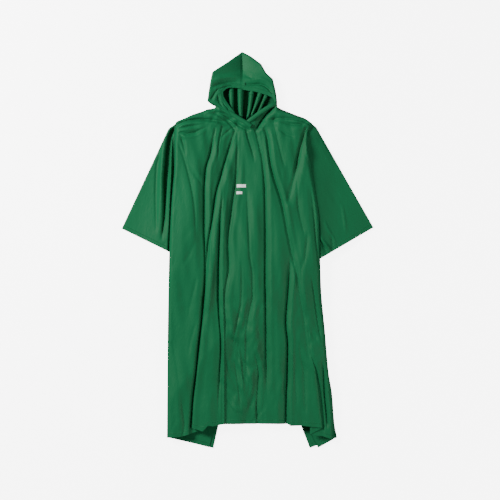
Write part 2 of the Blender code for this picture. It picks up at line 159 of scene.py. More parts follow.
# Folds of the front. A fold sinks by its depth along its path and stands up where the depth is negative; the
# cloth to its right rises in a lip, and where it leans the cloth on its right hangs over it.
FRONT_FOLDS = [
    # name, width to the left, width to the right, lip on the right, lean, [(x, y, depth)]
    ("outer_left", 18, 14, 4, 3, [(-113, 425, 4), (-129, 340, 11), (-146, 280, 13), (-151, 200, 13),
        (-151, 77, 14), (-146, -49, 14),
        (-147, -119, 12), (-154, -210, 7), (-167, -332, 3), (-180, -452, 1), (-189, -525, 0)]),
    ("inner_left", 17, 16, 3, 3, [(-40, 428, 5), (-66, 350, 11), (-93, 259, 14), (-109, 200, 15),
        (-125, 98, 14), (-133, 38, 17),
        (-137, -21, 15), (-144, -122, 5), (-146, -150, 0)]),
    ("second_left", 14, 16, 3, 0, [(-35, 415, 3), (-39, 280, 9), (-49, 200, 11), (-61, 119, 12),
        (-70, 38, 12), (-67, -63, 11),
        (-74, -119, 8), (-82, -172, 6), (-80, -252, 4), (-77, -304, 2), (-77, -340, 0)]),
    ("long_left", 13, 12, 2, 0, [(-86, 230, 0), (-89, 178, 7), (-97, 98, 13), (-101, -4, 17),
        (-103, -91, 17), (-103, -158, 15),
        (-98, -238, 11), (-92, -332, 10), (-98, -438, 9), (-101, -511, 6), (-102, -580, 0)]),
    ("thin_ridge", 8, 6, 0, 0, [(-88, -110, 0), (-86, -172, -4), (-83, -315, -6), (-82, -605, -6)]),
    ("centre_left", 12, 13, 2, 0, [(-23, -20, 0), (-20, -119, 5), (-23, -186, 6), (-34, -238, 7),
        (-44, -290, 4), (-48, -310, 0)]),
    ("pinch_left", 7, 8, 2, 0, [(-60, -308, 0), (-51, -315, 5), (-30, -336, 5), (-20, -345, 0)]),
    ("short_left", 9, 10, 2, 0, [(-48, -380, 0), (-44, -402, 3), (-35, -462, 5), (-27, -525, 4),
        (-25, -560, 0)]),
    ("ridge_left", 8, 8, 0, 0, [(-30, -340, 0), (-27, -380, -4), (-20, -440, -4), (-14, -500, 0)]),
    ("ridge_bow", 7, 7, 0, 0, [(-78, -500, 0), (-65, -525, -3.5), (-48, -552, -4), (-23, -560, -3.5),
        (-5, -552, 0)]),
    ("centre_top", 13, 12, 2, 0, [(-6, 425, 6), (2, 390, 7), (15, 350, 6), (26, 300, 0)]),
    ("neck_dart", 12, 12, 2, 0, [(-88, 432, 3), (-96, 400, 7), (-102, 360, 6), (-104, 300, 0)]),
    ("neck_dart_right", 12, 12, 2, 0, [(96, 430, 3), (104, 390, 6), (118, 330, 5), (132, 280, 0)]),
    ("centre", 13, 14, 2, 0, [(-3, 220, 0), (-1, 178, 4), (4, 70, 5), (7, -10, 5), (17, -91, 6),
        (17, -164, 7), (5, -224, 6),
        (-5, -304, 5), (-5, -448, 3), (-5, -490, 0)]),
    ("centre_low", 11, 12, 3, 0, [(22, -345, 0), (27, -368, 4), (38, -424, 8), (35, -490, 9),
        (31, -556, 9), (35, -612, 9)]),
    ("long_right", 15, 15, 3, 0, [(30, 415, 3), (40, 370, 6), (51, 318, 9), (60, 200, 12), (62, 38, 13),
        (62, -91, 14), (64, -350, 13), (66, -434, 8),
        (68, -520, 0)]),
    ("diagonal", 21, 13, 3.5, 0, [(60, 425, 6), (68, 399, 10), (81, 298, 13), (97, 238, 12),
        (117, 175, 11), (129, 119, 10), (138, 70, 9),
        (154, -10, 7), (173, -91, 7), (181, -144, 6), (197, -238, 5), (208, -332, 3), (230, -424, 0)]),
    ("straight_right", 15, 15, 5, 0, [(150, -10, 0), (147, -49, 7), (142, -119, 13), (137, -186, 15),
        (133, -252, 17), (139, -332, 18),
        (138, -424, 19), (134, -504, 19), (134, -612, 18)]),
    ("beside_straight", 8, 9, 1, 0, [(158, -300, 0), (160, -332, 3), (166, -455, 5), (171, -525, 3),
        (172, -560, 0)]),
    ("fan_right", 22, 18, 3, 0, [(204, 425, 8), (190, 380, 15), (178, 330, 16), (168, 280, 14),
        (162, 250, 10), (142, 178, 8), (130, 140, 0)]),
    ("fan_low", 12, 13, 2, 0, [(168, 280, 0), (172, 240, 4), (176, 158, 6), (192, 77, 4), (200, 50, 0)]),
    ("fan_foot", 10, 10, 2, 0, [(210, 60, 0), (207, 32, 5), (198, -38, 5), (186, -60, 5), (188, -105, 4),
        (190, -130, 0)]),
    ("edge_right", 11, 11, 3, 0, [(260, -385, 0), (264, -420, 8), (269, -504, 11), (275, -570, 11),
        (278, -609, 9)]),
    ("side_right", 10, 10, 2, 0, [(218, 230, 0), (228, 158, 5), (236, 56, 7), (247, -42, 5), (250, -70, 0)]),
    ("low_right", 11, 11, 2, 0, [(222, -90, 0), (227, -119, 5), (241, -224, 7), (252, -290, 5),
        (258, -320, 0)]),
    ("pinch_right", 8, 9, 2, 0, [(198, -262, 0), (212, -285, 5), (232, -300, 6), (250, -322, 0)]),
    ("beside_diagonal", 11, 11, 2, 0, [(182, -320, 0), (186, -360, 5), (198, -434, 6), (201, -542, 5),
        (203, -580, 0)]),
    ("slant_top", 10, 9, 2, 0, [(-237, 408, 0), (-229, 385, 9), (-221, 355, 7), (-214, 325, 0)]),
    ("slant_left", 12, 12, 2, 0, [(-246, 385, 0), (-236, 360, 5), (-205, 259, 6), (-186, 158, 5),
        (-181, 77, 3), (-180, 40, 0)]),
    ("slant_inner", 10, 10, 2, 0, [(-215, 320, 0), (-190, 270, 5), (-165, 238, 6), (-149, 200, 3)]),
    ("drag_1", 13, 11, 0.6, 0, [(-178, 40, 0), (-190, 12, 3), (-213, -32, 3), (-240, -62, 0)]),
    ("drag_2", 13, 11, 0.6, 0, [(-170, -80, 0), (-182, -120, 3), (-203, -205, 3), (-208, -240, 0)]),
    ("drag_3", 13, 11, 0.6, 0, [(-175, -240, 0), (-186, -270, 3), (-202, -332, 3), (-206, -370, 0)]),
    ("drag_4", 13, 11, 0.6, 0, [(-266, -310, 0), (-258, -345, 3), (-244, -427, 3), (-238, -470, 0)]),
    ("drag_5", 9, 9, 2, 0, [(-232, -520, 0), (-226, -560, 4), (-221, -609, 5), (-228, -655, 5)]),
    ("yoke_left", 14, 9, 3, 0, [(-66, 440, 0), (-92, 449, 8), (-130, 455, 13), (-166, 457, 15),
        (-200, 454, 17), (-227, 447, 19),
        (-250, 433, 20), (-264, 418, 18)]),
    ("yoke_left_neck", 9, 8, 2, 0, [(-72, 474, 4), (-95, 480, 10), (-125, 478, 8), (-150, 472, 0)]),
    ("yoke_left_low", 13, 9, 3, 0, [(-136, 432, 0), (-167, 419, 6), (-187, 409, 9), (-213, 405, 9),
        (-233, 411, 6), (-248, 404, 0)]),
    ("yoke_left_mid", 9, 8, 3, 0, [(-150, 440, 0), (-187, 433, 6), (-213, 431, 9), (-240, 424, 8),
        (-256, 410, 0)]),
    ("neck_left", 8, 8, 2, 0, [(-30, 436, 4), (-58, 425, 6), (-84, 402, 5), (-110, 372, 0)]),
    ("neck_right", 8, 8, 2, 0, [(20, 430, 3), (30, 410, 5), (40, 370, 0)]),
    ("under_band", 10, 9, 3, 0, [(-112, 484, 8), (-86, 474, 13), (-56, 455, 15), (-26, 434, 15),
        (-2, 421, 12), (14, 418, 0)]),
    ("neck_shadow", 11, 10, 3, 0, [(-138, 491, 0), (-101, 470, 9), (-74, 454, 12), (-52, 430, 9),
        (-42, 410, 0)]),
    ("collar_right", 9, 12, 3, 0, [(92, 500, 10), (74, 486, 15), (58, 466, 17), (42, 442, 16),
        (30, 424, 9), (22, 408, 0)]),
    ("collar_right_out", 7, 8, 2, 0, [(96, 492, 0), (80, 470, 6), (64, 448, 5), (54, 430, 0)]),
    ("yoke_right", 9, 13, 3, 0, [(60, 452, 0), (82, 456, 8), (124, 460, 14), (166, 456, 15),
        (196, 450, 16), (216, 440, 14)]),
    ("yoke_right_low", 9, 11, 3, 0, [(104, 450, 0), (130, 445, 8), (165, 438, 12), (190, 438, 12),
        (206, 444, 6)]),
    ("ridge_shoulder", 9, 9, 0, 0, [(218, 432, -3), (206, 404, -6), (207, 350, -6), (221, 297, -4),
        (230, 240, 0)]),
    ("yoke_right_soft", 12, 14, 2, 0, [(88, 440, 0), (112, 420, 4), (140, 402, 5), (180, 392, 0)]),
]

# Where small creases crowd together.
CRUMPLES = [
    # seed, count, spread, depth, (lowest corner, highest corner)
    (41, 54, 0.55, 2.6, ((-85, -600), (45, -150))),
    (42, 16, 0.9, 1.7, ((190, -360), (250, -230))),
    (43, 20, 0.4, 1.3, ((80, -600), (250, -350))),
    (44, 26, 0.9, 1.5, ((-135, 425), (-25, 482))),
    (45, 14, 0.9, 1.3, ((50, 430), (130, 485))),
]


# ---- reading the tables ----
def smooth(t):
    t = np.clip(t, 0.0, 1.0)
    return t * t * (3.0 - 2.0 * t)


def eased(keys, values, at):
    """Values at keys, read anywhere with a monotone cubic run between them."""
    keys, values = np.asarray(keys, float), np.asarray(values, float)
    if keys[0] > keys[-1]:
        keys, values = keys[::-1], values[::-1]
    step = np.diff(keys)
    rise = np.diff(values) / step
    slope = np.zeros(len(keys))
    slope[0], slope[-1] = rise[0], rise[-1]
    for i in range(1, len(keys) - 1):
        if rise[i - 1] * rise[i] > 0:
            slope[i] = 2 * rise[i - 1] * rise[i] / (rise[i - 1] + rise[i])
    at = np.clip(at, keys[0], keys[-1])
    i = np.clip(np.searchsorted(keys, at, side="right") - 1, 0, len(step) - 1)
    t = (at - keys[i]) / step[i]
    h = step[i]
    return (
        values[i] * (1 + 2 * t) * (1 - t) ** 2
        + h * slope[i] * t * (1 - t) ** 2
        + values[i + 1] * t * t * (3 - 2 * t)
        + h * slope[i + 1] * t * t * (t - 1)
    )


def along_edge(edge, x):
    return np.interp(x, [p[0] for p in edge], [p[1] for p in edge])


def inside_distance(x, y, corners):
    """How far points lie inside a convex outline, negative outside it."""
    corners = [np.array(c, float) for c in corners]
    pairs = list(zip(corners, corners[1:] + corners[:1]))
    turn = 1.0 if sum(a[0] * b[1] - b[0] * a[1] for a, b in pairs) > 0 else -1.0
    nearest = np.full(np.shape(x), np.inf)
    for a, b in pairs:
        along = (b - a) / math.dist(a, b)
        nearest = np.minimum(nearest, turn * (along[0] * (y - a[1]) - along[1] * (x - a[0])))
    return nearest


def over(x, y, corners):
    """1 over an outline and a margin round it, and 0 away from it, with a ramp between."""
    return smooth(1.0 + (inside_distance(x, y, corners) + MARGIN) / RAMP)


# ---- heights of the layers ----
def back_outline():
    left, right = SIDES["left"], SIDES["right"]
    return [left["shoulder"], left["back_foot"], right["back_foot"], right["shoulder"], (117, 491),
        (-140, 495)]


def tuck_outline(side, layer):
    corners = SIDES[side]
    return [corners["shoulder"], corners[layer + "_foot"], corners[layer + "_corner"], corners["inner"]]


def sleeve_outline(side):
    corners = SIDES[side]
    return [corners["sleeve_top"], corners["tip"], corners["inner"], corners["shoulder"]]


def back_tuck_rise(x, y):
    tuck = np.maximum(*(over(x, y, tuck_outline(side, "back")) for side in SIDES))
    return LAYER * (np.maximum(tuck, over(x, y, back_outline())) + tuck)


def sleeve_rise(x, y):
    thick = SLEEVE_HOLLOW + WALL + LAYER
    return back_tuck_rise(x, y) + thick * np.maximum(*(over(x, y, sleeve_outline(side)) for side in SIDES))


def front_rise(x, y):
    tuck = np.maximum(*(over(x, y, tuck_outline(side, "front")) for side in SIDES))
    return sleeve_rise(x, y) + LAYER * tuck


def round_over(distance, width):
    """0 at an edge and 1 past the width, along a quarter of an ellipse."""
    return np.sqrt(np.maximum(0.0, 1.0 - (1.0 - np.clip(distance / width, 0.0, 1.0)) ** 2))


def hem_step(edge, rise=HEM_RISE):
    """How far the turned hem stands up over the cloth beside it, by the distance to the cut edge."""
    return rise * smooth((HEM_BAND + 1.2 - edge) / HEM_SLOPE)


# ---- folds ----
def path_distance(x, y, path):
    """Signed distance to a path, positive on its right on the way down, and how far along it the nearest
    point lies, counted in path points."""
    best = np.full(x.shape, np.inf)
    side = np.zeros(x.shape)
    where = np.zeros(x.shape)
    for i, (a, b) in enumerate(zip(path, path[1:])):
        dx, dy = b[0] - a[0], b[1] - a[1]
        length = math.hypot(dx, dy)
        t = np.clip(((x - a[0]) * dx + (y - a[1]) * dy) / length**2, 0.0, 1.0)
        off = np.hypot(x - a[0] - dx * t, y - a[1] - dy * t)
        nearer = off < best
        best = np.where(nearer, off, best)
        side = np.where(nearer, np.sign((y - a[1]) * dx - (x - a[0]) * dy), side)
        where = np.where(nearer, i + t, where)
    return best * np.where(side == 0, 1.0, side), where


def finer(path):
    """A path with its corners eased, as rows of x, y and depth."""
    path = np.array(path, float)
    run = np.concatenate([[0.0], np.cumsum(np.hypot(*np.diff(path[:, :2], axis=0).T))])
    at = np.linspace(0, run[-1], max(8, int(run[-1] / 14)))
    return np.stack([eased(run, path[:, i], at) for i in range(3)], axis=1)


SOFT_SHARE = 0.40  # depth of the wide soft trough round each fold
FOLD_WIDTHS = (0.82, 0.95)  # what the folds' widths are taken times, to the left and the right
FOLD_BLUNT = 0.14  # how blunt the bottom of a fold is, as a share of its width
LIP_SHARE = 1.35  # height of the lips, as a share of the tables'


def folded(x, y, folds):
    """What a table of folds does to the points of a sheet: how deep they sink, how far they rise and how far
    they move across."""
    sink = np.zeros(x.shape)
    rise = np.zeros(x.shape)
    shift = np.zeros(x.shape)
    for _, left, right, lip, lean, path in folds:
        path = finer(path)
        off, where = path_distance(x, y, path)
        depth = np.interp(where, range(len(path)), path[:, 2])
        # Past the ends of a path its depth fades with the distance.
        left, right = FOLD_WIDTHS[0] * left, FOLD_WIDTHS[1] * right
        u = np.abs(off) / np.where(off < 0, left, right)
        groove = np.maximum(0.0, 1.0 + FOLD_BLUNT - np.sqrt(u**2 + FOLD_BLUNT**2)) ** 1.9
        broad = np.maximum(0.0, 1.0 - (off / np.where(off < 0, 2.6 * left, 3.0 * right)) ** 2) ** 2
        sink += (np.maximum(depth, 0.0) * np.maximum(groove, SOFT_SHARE * broad)) ** 3
        rise += np.maximum(-depth, 0.0) * np.maximum(0.0, 1.0 - u**2) ** 2
        share = np.clip(depth / 12.0, 0.0, 1.0)
        rise += LIP_SHARE * lip * share * np.exp(-(((off / right) - 1.35) / 0.62) ** 2)
        rise += 0.12 * lip * share * np.exp(-(((-off / left) - 1.3) / 0.5) ** 2)
        if lean:
            shift -= lean * share * np.exp(-(((off / right) - 0.55) / 0.42) ** 2)
    return np.cbrt(sink), rise, shift


def waves(x, y, seed, sizes):
    """Slow uneven swells: sums of a few slanted sine waves of given lengths and heights."""
    rng = np.random.default_rng(seed)
    total = np.zeros(x.shape)
    for length, height in sizes:
        for _ in range(4):
            angle = rng.uniform(-0.45, 0.45)
            phase = rng.uniform(0, 2 * math.pi)
            stretch = rng.uniform(0.8, 1.3)
            across = (x * math.cos(angle) + y * math.sin(angle) * 0.6) / (length * stretch)
            bend = 0.7 * np.sin(y / (length * 3.1) + phase * 2)
            total += height / 2 * np.sin(2 * math.pi * across + phase + bend)
    return total


def wrinkles(x, y, seed, count, spread=0.35, depth=1.5, within=None):
    """Small straight creases scattered over a sheet or a part of it, nearly in line with its long side."""
    rng = np.random.default_rng(seed)
    total = np.zeros(x.shape)
    low, high = within or ((x.min(), y.min()), (x.max(), y.max()))
    for _ in range(count):
        centre = rng.uniform(low, high)
        angle = rng.normal(0.0, spread)
        length, width = rng.uniform(25, 95), rng.uniform(6.0, 13.0)
        deep, bow = depth * rng.uniform(0.35, 1.0), rng.normal(0, 0.0022)
        along = (x - centre[0]) * math.sin(angle) + (y - centre[1]) * math.cos(angle)
        off = ((x - centre[0]) * math.cos(angle) - (y - centre[1]) * math.sin(angle) - bow * along**2) / width
        fade = np.maximum(0.0, 1.0 - (along / length) ** 2) ** 1.5
        total += deep * fade * (0.55 * np.exp(-((off - 1.5) ** 2)) - np.exp(-(off**2)))
    return total


# ---- making meshes ----
def placed(name, data):
    made = bpy.data.objects.new(name, data)
    bpy.context.scene.collection.objects.link(made)
    return made


def normals_of(points):
    across = np.gradient(points, axis=1)
    down = np.gradient(points, axis=0)
    normal = np.cross(down, across)
    length = np.linalg.norm(normal, axis=2, keepdims=True)
    return normal / np.maximum(length, 1e-9)


def shell(name, points, edge, along, material, thickness=SHELL):
    """A closed thin shell on a grid of points in millimetres, given on its outer side. edge is each point's
    distance to the nearest cut edge, and along its place along that edge, which the stitching follows."""
    rows, columns = points.shape[:2]
    inner = points - normals_of(points) * thickness
    vertices = np.concatenate([points.reshape(-1, 3), inner.reshape(-1, 3)]) * MM
    index = np.arange(rows * columns).reshape(rows, columns)
    a, b, c, d = index[:-1, :-1], index[1:, :-1], index[1:, 1:], index[:-1, 1:]
    outer_faces = np.stack([a, b, c, d], axis=-1).reshape(-1, 4)
    inner_faces = outer_faces[:, ::-1] + rows * columns
    ring = np.concatenate([index[0, :-1], index[:-1, -1], index[-1, :0:-1], index[:0:-1, 0]])
    after = np.roll(ring, -1)
    rim = np.stack([ring, after, after + rows * columns, ring + rows * columns], axis=-1)
    faces = np.concatenate([outer_faces, inner_faces, rim])
    mesh = bpy.data.meshes.new(name + "_cloth")
    mesh.from_pydata(vertices.tolist(), [], faces.tolist())
    mesh.update()
    sharp = set(map(frozenset, zip(ring.tolist(), after.tolist())))
    sharp |= set(map(frozenset, zip((ring + rows * columns).tolist(), (after + rows * columns).tolist())))
    ends = np.zeros(len(mesh.edges) * 2, np.int32)
    mesh.edges.foreach_get("vertices", ends)
    flags = [frozenset(pair) in sharp for pair in ends.reshape(-1, 2).tolist()]
    mesh.attributes.new("sharp_edge", "BOOLEAN", "EDGE").data.foreach_set("value", flags)
    step_across = np.linalg.norm(np.diff(points, axis=1), axis=2)
    step_down = np.linalg.norm(np.diff(points, axis=0), axis=2)
    run = np.concatenate([np.zeros((rows, 1)), np.cumsum(step_across, axis=1)], axis=1)
    fall = np.concatenate([np.zeros((1, columns)), np.cumsum(step_down, axis=0)], axis=0)
    run -= run[:, columns // 2 : columns // 2 + 1]
    weave = np.stack([run, fall, np.zeros_like(run)], axis=-1).reshape(-1, 3) * MM
    put = mesh.attributes.new("weave", "FLOAT_VECTOR", "POINT").data
    put.foreach_set("vector", np.concatenate([weave, weave]).astype(np.float32).reshape(-1))
    for label, values in (("edge", edge), ("along", along)):
        flat = np.broadcast_to(values, (rows, columns)).reshape(-1) * MM
        mesh.attributes.new(label, "FLOAT", "POINT").data.foreach_set(
            "value", np.concatenate([flat, flat]).astype(np.float32)
        )
    mesh.materials.append(material)
    mesh.shade_smooth()
    made = placed(name + "_cloth", mesh)
    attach(made, "root")
    return made


# ---- materials ----
# In metres: the weave's pitch, and the stitches' pitch and half width.
THREAD_PITCH = 0.00055
STITCH_PITCH = 0.0034
STITCH_HALF = 0.00042


def cloth_material(name, colour, roughness, stitches=True):
    """Coated cloth: a fine weave under a satin coating, small creases, uneven colour and a sewn hem."""
    made = bpy.data.materials.new(name)
    made.use_nodes = True
    nodes, links = made.node_tree.nodes, made.node_tree.links
    shader = nodes["Principled BSDF"]

    def node(kind, **settings):
        new = nodes.new(kind)
        for key, value in settings.items():
            setattr(new, key, value)
        return new

    def sums(operation, first, second=None, third=None):
        new = node("ShaderNodeMath", operation=operation)
        for socket, value in zip(new.inputs, (first, second, third)):
            if isinstance(value, (int, float)):
                socket.default_value = value
            elif value is not None:
                links.new(value, socket)
        return new.outputs[0]

    weave = node("ShaderNodeAttribute", attribute_name="weave")
    edge = node("ShaderNodeAttribute", attribute_name="edge")
    along = node("ShaderNodeAttribute", attribute_name="along")
    split = node("ShaderNodeSeparateXYZ")
    links.new(weave.outputs["Vector"], split.inputs[0])

    threads = 2 * math.pi / THREAD_PITCH
    warp = sums("SINE", sums("MULTIPLY", split.outputs["X"], threads))
    weft = sums("SINE", sums("MULTIPLY", split.outputs["Y"], threads))
    thread_height = sums("MULTIPLY", sums("MULTIPLY", warp, weft), 0.00002)

    def noise(scale, detail, stretch=(1, 1, 1)):
        place = node("ShaderNodeMapping")
        place.inputs["Scale"].default_value = stretch
        texture = node("ShaderNodeTexNoise")
        texture.inputs["Scale"].default_value = scale
        texture.inputs["Detail"].default_value = detail
        links.new(weave.outputs["Vector"], place.inputs["Vector"])
        links.new(place.outputs["Vector"], texture.inputs["Vector"])
        return texture.outputs["Fac"]

    creases = noise(55.0, 4.0, (1, 0.45, 1))
    crumples = noise(150.0, 3.0, (1, 0.4, 1))
    orange_peel = noise(420.0, 2.0)
    height = thread_height
    for layer, depth in ((creases, 0.0011), (crumples, 0.00045), (orange_peel, 0.00004)):
        height = sums("ADD", height, sums("MULTIPLY", layer, depth))
    if stitches:
        # A groove along the hem's stitching, with a thread standing in it at each stitch.
        line = sums("SUBTRACT", edge.outputs["Fac"], (HEM_BAND - HEM_SLOPE) * MM)
        groove = sums("SUBTRACT", 1.0, sums("MINIMUM", sums("DIVIDE", sums("ABSOLUTE", line), 0.0012), 1.0))
        beat = sums("SINE", sums("MULTIPLY", along.outputs["Fac"], 2 * math.pi / STITCH_PITCH))
        on_line = sums("LESS_THAN", sums("ABSOLUTE", line), STITCH_HALF)
        dash = sums("MULTIPLY", sums("GREATER_THAN", beat, -0.25), on_line)
        height = sums("ADD", height, sums("MULTIPLY", groove, -0.0006))
        height = sums("ADD", height, sums("MULTIPLY", dash, 0.0005))
    bump = node("ShaderNodeBump")
    bump.inputs["Strength"].default_value = 1.0
    bump.inputs["Distance"].default_value = 1.0
    links.new(height, bump.inputs["Height"])
    links.new(bump.outputs["Normal"], shader.inputs["Normal"])

    tone = node("ShaderNodeMix", data_type="RGBA")
    tone.inputs["A"].default_value = (*(c * 0.90 for c in colour), 1)
    tone.inputs["B"].default_value = (*(c * 1.10 for c in colour), 1)
    links.new(noise(9.0, 5.0, (1, 0.6, 1)), tone.inputs["Factor"])
    tint = tone.outputs["Result"]
    if stitches:
        thread = node("ShaderNodeMix", data_type="RGBA")
        thread.inputs["B"].default_value = (*(c * 0.72 for c in colour), 1)
        links.new(dash, thread.inputs["Factor"])
        links.new(tint, thread.inputs["A"])
        tint = thread.outputs["Result"]
    links.new(tint, shader.inputs["Base Color"])
    rough = sums("MULTIPLY_ADD", noise(25.0, 3.0), 0.10, roughness - 0.05)
    links.new(rough, shader.inputs["Roughness"])
    shader.inputs["Specular IOR Level"].default_value = 0.09
    shader.inputs["Sheen Weight"].default_value = 0.015
    shader.inputs["Sheen Roughness"].default_value = 0.5
    shader.inputs["Sheen Tint"].default_value = (0.35, 0.9, 0.55, 1)
    return made


CLOTH = cloth_material("poncho_cloth", (0.0085, 0.112, 0.042), 0.55)
PRINT = cloth_material("print_white", (0.80, 0.82, 0.80), 0.5, stitches=False)


# ---- the front ----
def read_line(line, y):
    return eased([p[0] for p in line], [p[1] for p in line], y)


def pleat_reach(side, y):
    """How far a pleat's under layer passes beneath the upper one."""
    pleat = PLEATS[side]
    return pleat["under"] * smooth((pleat["starts"] - y) / (pleat["starts"] - pleat["whole"]))


def turn_offset(turn, y):
    """How far a pleat's turn lies from its guide: the inner one under the cloth, and both side by side, apart
    by the pleat's own few columns, where there's no pleat yet."""
    if turn is None:
        return 0.0
    side, which = turn
    reach = pleat_reach(side, y)
    spread = 2.5 * (1.0 - smooth(reach / 8.0))
    return (1.0 if side == "left" else -1.0) * (reach - spread if which == "inner" else spread)


def front_grid():
    """x and y of each point of the front before it's folded, the y of its upper and lower edges for each
    column, and how far each point is raised by the pleats."""
    guides = [line for _, line in GUIDES]
    counts = [count for count, _ in GUIDES[:-1]]
    # Runs of columns: the guides they lie between, and the turn of a pleat that each end is at.
    turns = {1: [("left", "inner"), ("left", "outer")], 5: [("right", "outer"), ("right", "inner")]}
    runs = []
    for i, count in enumerate(counts):
        if i in turns:
            runs.append((PLEAT_COLUMNS, i, i, *turns[i]))
        runs.append((count, i, i + 1, turns.get(i, [None])[-1], turns.get(i + 1, [None])[0]))
    down = np.concatenate([np.linspace(a, b, count)[1 if a else 0 :] for count, a, b in FRONT_ROWS])

    def columns(value_at):
        parts = []
        for number, (count, a, b, turn_a, turn_b) in enumerate(runs):
            t = (np.arange(count + 1) / count)[0 if number == 0 else 1 :]
            parts.append(value_at(t, a, b, turn_a, turn_b))
        return np.concatenate(parts, axis=-1)

    def x_of(y):
        """y has a column for each point, and so has the result."""
        place = [0]

        def run(t, a, b, turn_a, turn_b):
            here = y[..., place[0] : place[0] + len(t)]
            place[0] += len(t)
            start = read_line(guides[a], here) + turn_offset(turn_a, here)
            end = read_line(guides[b], here) + turn_offset(turn_b, here)
            return start + (end - start) * t

        return columns(run)

    total = sum(run[0] for run in runs) + 1
    x_top = x_of(np.full((1, total), TOP_REFERENCE))[0]
    x_hem = x_of(np.full((1, total), HEM_REFERENCE))[0]
    y_top = along_edge(TOP_EDGE, x_top)
    upper_hem = along_edge(HEM_EDGE, x_hem)
    edges = [along_edge([(x, y) for y, x in PLEATS[side]["hem"]], x_hem) for side in SIDES]
    group = columns(lambda t, a, b, *_: np.full(len(t), a if a != b else a + 0.5))
    share = columns(lambda t, *_: t)
    y_hem = np.where(group == 0, edges[0], np.where(group == 5, edges[1], upper_hem))
    left_turns, right_turns = PLEATS["left"]["turns"], PLEATS["right"]["turns"]
    y_hem = np.where(group == 1.5, left_turns[0] + (left_turns[1] - left_turns[0]) * share, y_hem)
    y_hem = np.where(group == 5.5, right_turns[0] + (right_turns[1] - right_turns[0]) * share, y_hem)
    y = y_top + (y_hem - y_top) * down[:, None]
    x = x_of(y)

    raised = np.zeros_like(x)
    for side, turn, line in (("left", 1.0, guides[1]), ("right", -1.0, guides[5])):
        reach = pleat_reach(side, y)
        full = PLEATS[side]["apart"] * smooth(reach / 14.0)
        past = turn * (x - read_line(line, y))  # how far a point lies on the upper layer's side of the edge
        under = -full * smooth((past + 13.0) / 13.0)
        back = -full + 0.25 * full + 0.62 * full * (share if side == "left" else 1 - share) ** 4
        upper = (0.25 * full) * np.exp(-((past - 10) / 12) ** 2) - 0.2 * full * np.exp(-((past / 3.0) ** 2))
        on_upper = (group >= 1) & (group < 5.5) & (group != 1.5)
        under_group, back_group = (0, 1.5) if side == "left" else (5, 5.5)
        near_edge = np.where(on_upper & (past < 60), upper, 0)
        raised += np.where(group == under_group, under, np.where(group == back_group, back, near_edge))
    return x, y, y_top, y_hem, raised


def front_panel():
    x, y, y_top, y_hem, raised = front_grid()
    left = x[:, :1]
    right = x[:, -1:]
    sink, rise, shift = folded(x, y, FRONT_FOLDS)
    from_top = y_top[None, :] - y
    side = round_over(np.minimum(x - left, right - x), SIDE_ROUND)
    at_neck = smooth((x + 135) / 25) * smooth((125 - x) / 25)
    shoulder = np.maximum(at_neck, round_over(from_top, TOP_ROUND))
    # The sleeve holds the right edge up.
    held = HELD_UP * smooth((y - 60) / 60) * smooth(from_top / 45) * (x > 0)
    side = np.maximum(side, held)
    open_out = np.minimum(side, shoulder)
    loft = BODY_LOFT * side * shoulder
    swell = waves(x, y, 3, [(95, 2.2), (46, 0.9)]) + wrinkles(x, y, 5, 130, depth=1.0)
    for seed, count, spread, depth, within in CRUMPLES:
        swell = swell + wrinkles(x, y, seed, count, spread, depth, within)
    body = loft + (rise + swell - sink + raised) * open_out
    floor = front_rise(x, y) + WALL
    hem_edge = y - y_hem[None, :]
    z = floor + np.maximum(REST_GAP + HOLLOW * open_out, body) + hem_step(hem_edge)
    shift *= open_out
    # Along the shoulders the front comes down to the back's edge, or to the sleeve at the corners.
    corner = np.maximum(smooth((-218 - x) / 30), smooth((x - 172) / 30))
    seam = BACK_SEAM + (floor - BACK_SEAM) * corner
    closing = np.maximum(at_neck, round_over(from_top, 10.0))
    z = seam + (z - seam) * closing
    points = np.stack([x + shift, y, z], axis=-1)
    made = shell("front_panel", points, hem_edge, x, CLOTH)
    return made, points


# ---- the sleeves, the turned-in sides and the back ----
def turned(fold, unit, start, angle, bottom, top):
    """The half-round outer edge of a flat tube, from one layer's height to the other's, as x, y and z."""
    away = start * (1 - np.cos(angle))[None, :]
    z = (top + bottom) / 2 + (top - bottom) / 2 * np.sin(angle)[None, :]
    return fold[:, :1] + unit[:, :1] * away, fold[:, 1:] + unit[:, 1:] * away, z


